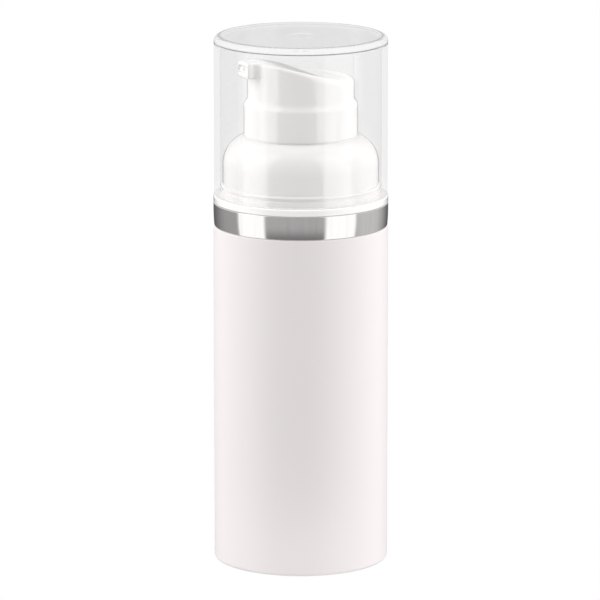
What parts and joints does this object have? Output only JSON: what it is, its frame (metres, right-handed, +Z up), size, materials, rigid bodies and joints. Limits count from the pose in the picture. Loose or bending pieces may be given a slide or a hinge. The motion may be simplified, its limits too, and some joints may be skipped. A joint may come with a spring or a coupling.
{
  "type": "airless pump bottle",
  "caption": "Cylindrical airless dispenser: white barrel, chromed trim ring, domed collar, swivelling press-down pump head and a clear lift-off overcap.",
  "frame": {"origin": "on the bottle's axis, in the plane it stands on", "axes": "+Z up along the bottle's axis, the nozzle points along -X, +Y to the nozzle's right seen from above with the nozzle ahead"},
  "size_m": [0.038, 0.038, 0.116],
  "materials": {
    "barrel_white": "glossy moulded polypropylene",
    "base_white": "moulded polypropylene",
    "piston_white": "soft polyethylene",
    "trim_chrome": "mirror",
    "collar_white": "glossy moulded polypropylene",
    "seal_rubber": "soft elastomer",
    "engine_white": "moulded polypropylene",
    "engine_natural": "natural polypropylene",
    "steel": "bright stainless",
    "head_white": "glossy moulded polypropylene",
    "cap_clear": "clear styrene, polished"
  },
  "bodies": {
    "housing": {"bottle": "barrel_white", "base_plate": "base_white", "trim_ring": "trim_chrome", "collar": "collar_white", "neck_gasket": "seal_rubber", "pump_base": "engine_white", "chamber_gasket": "seal_rubber", "pump_chamber": "engine_natural", "chamber_cover": "engine_white", "return_spring": "steel"},
    "cap": {"overcap": "cap_clear"},
    "plunger": {"stem": "engine_natural", "stem_plug": "engine_natural"},
    "actuator": {"head": "head_white"},
    "dosing_piston": {"pump_piston": "piston_white"},
    "valve_ball": {"inlet_ball": "steel"},
    "follower": {"follower_piston": "piston_white"}
  },
  "joints": [
    {"name": "cap_lift", "type": "slide", "parent": "housing", "child": "cap", "axis": [0, 0, 1], "range_m": [0, 0.045]},
    {"name": "head_press", "type": "slide", "parent": "housing", "child": "plunger", "axis": [0, 0, -1], "range_m": [0, 0.0055], "stiffness_N_per_m": 1300, "deforming": ["return_spring"]},
    {"name": "head_swivel", "type": "hinge", "parent": "plunger", "child": "actuator", "pos_m": [0, 0, 0.1], "axis": [0, 0, 1], "continuous": true},
    {"name": "dosing_piston_play", "type": "slide", "parent": "plunger", "child": "dosing_piston", "axis": [0, 0, 1], "range_m": [0, 0.0008]},
    {"name": "inlet_ball_lift", "type": "slide", "parent": "housing", "child": "valve_ball", "axis": [0, 0, 1], "range_m": [0, 0.001]},
    {"name": "follower_rise", "type": "slide", "parent": "housing", "child": "follower", "axis": [0, 0, 1], "range_m": [0, 0.0535]}
  ],
  "couplings": [
    {"joint": "dosing_piston_play", "follows": "head_press", "ratio": 0.1454}
  ]
}
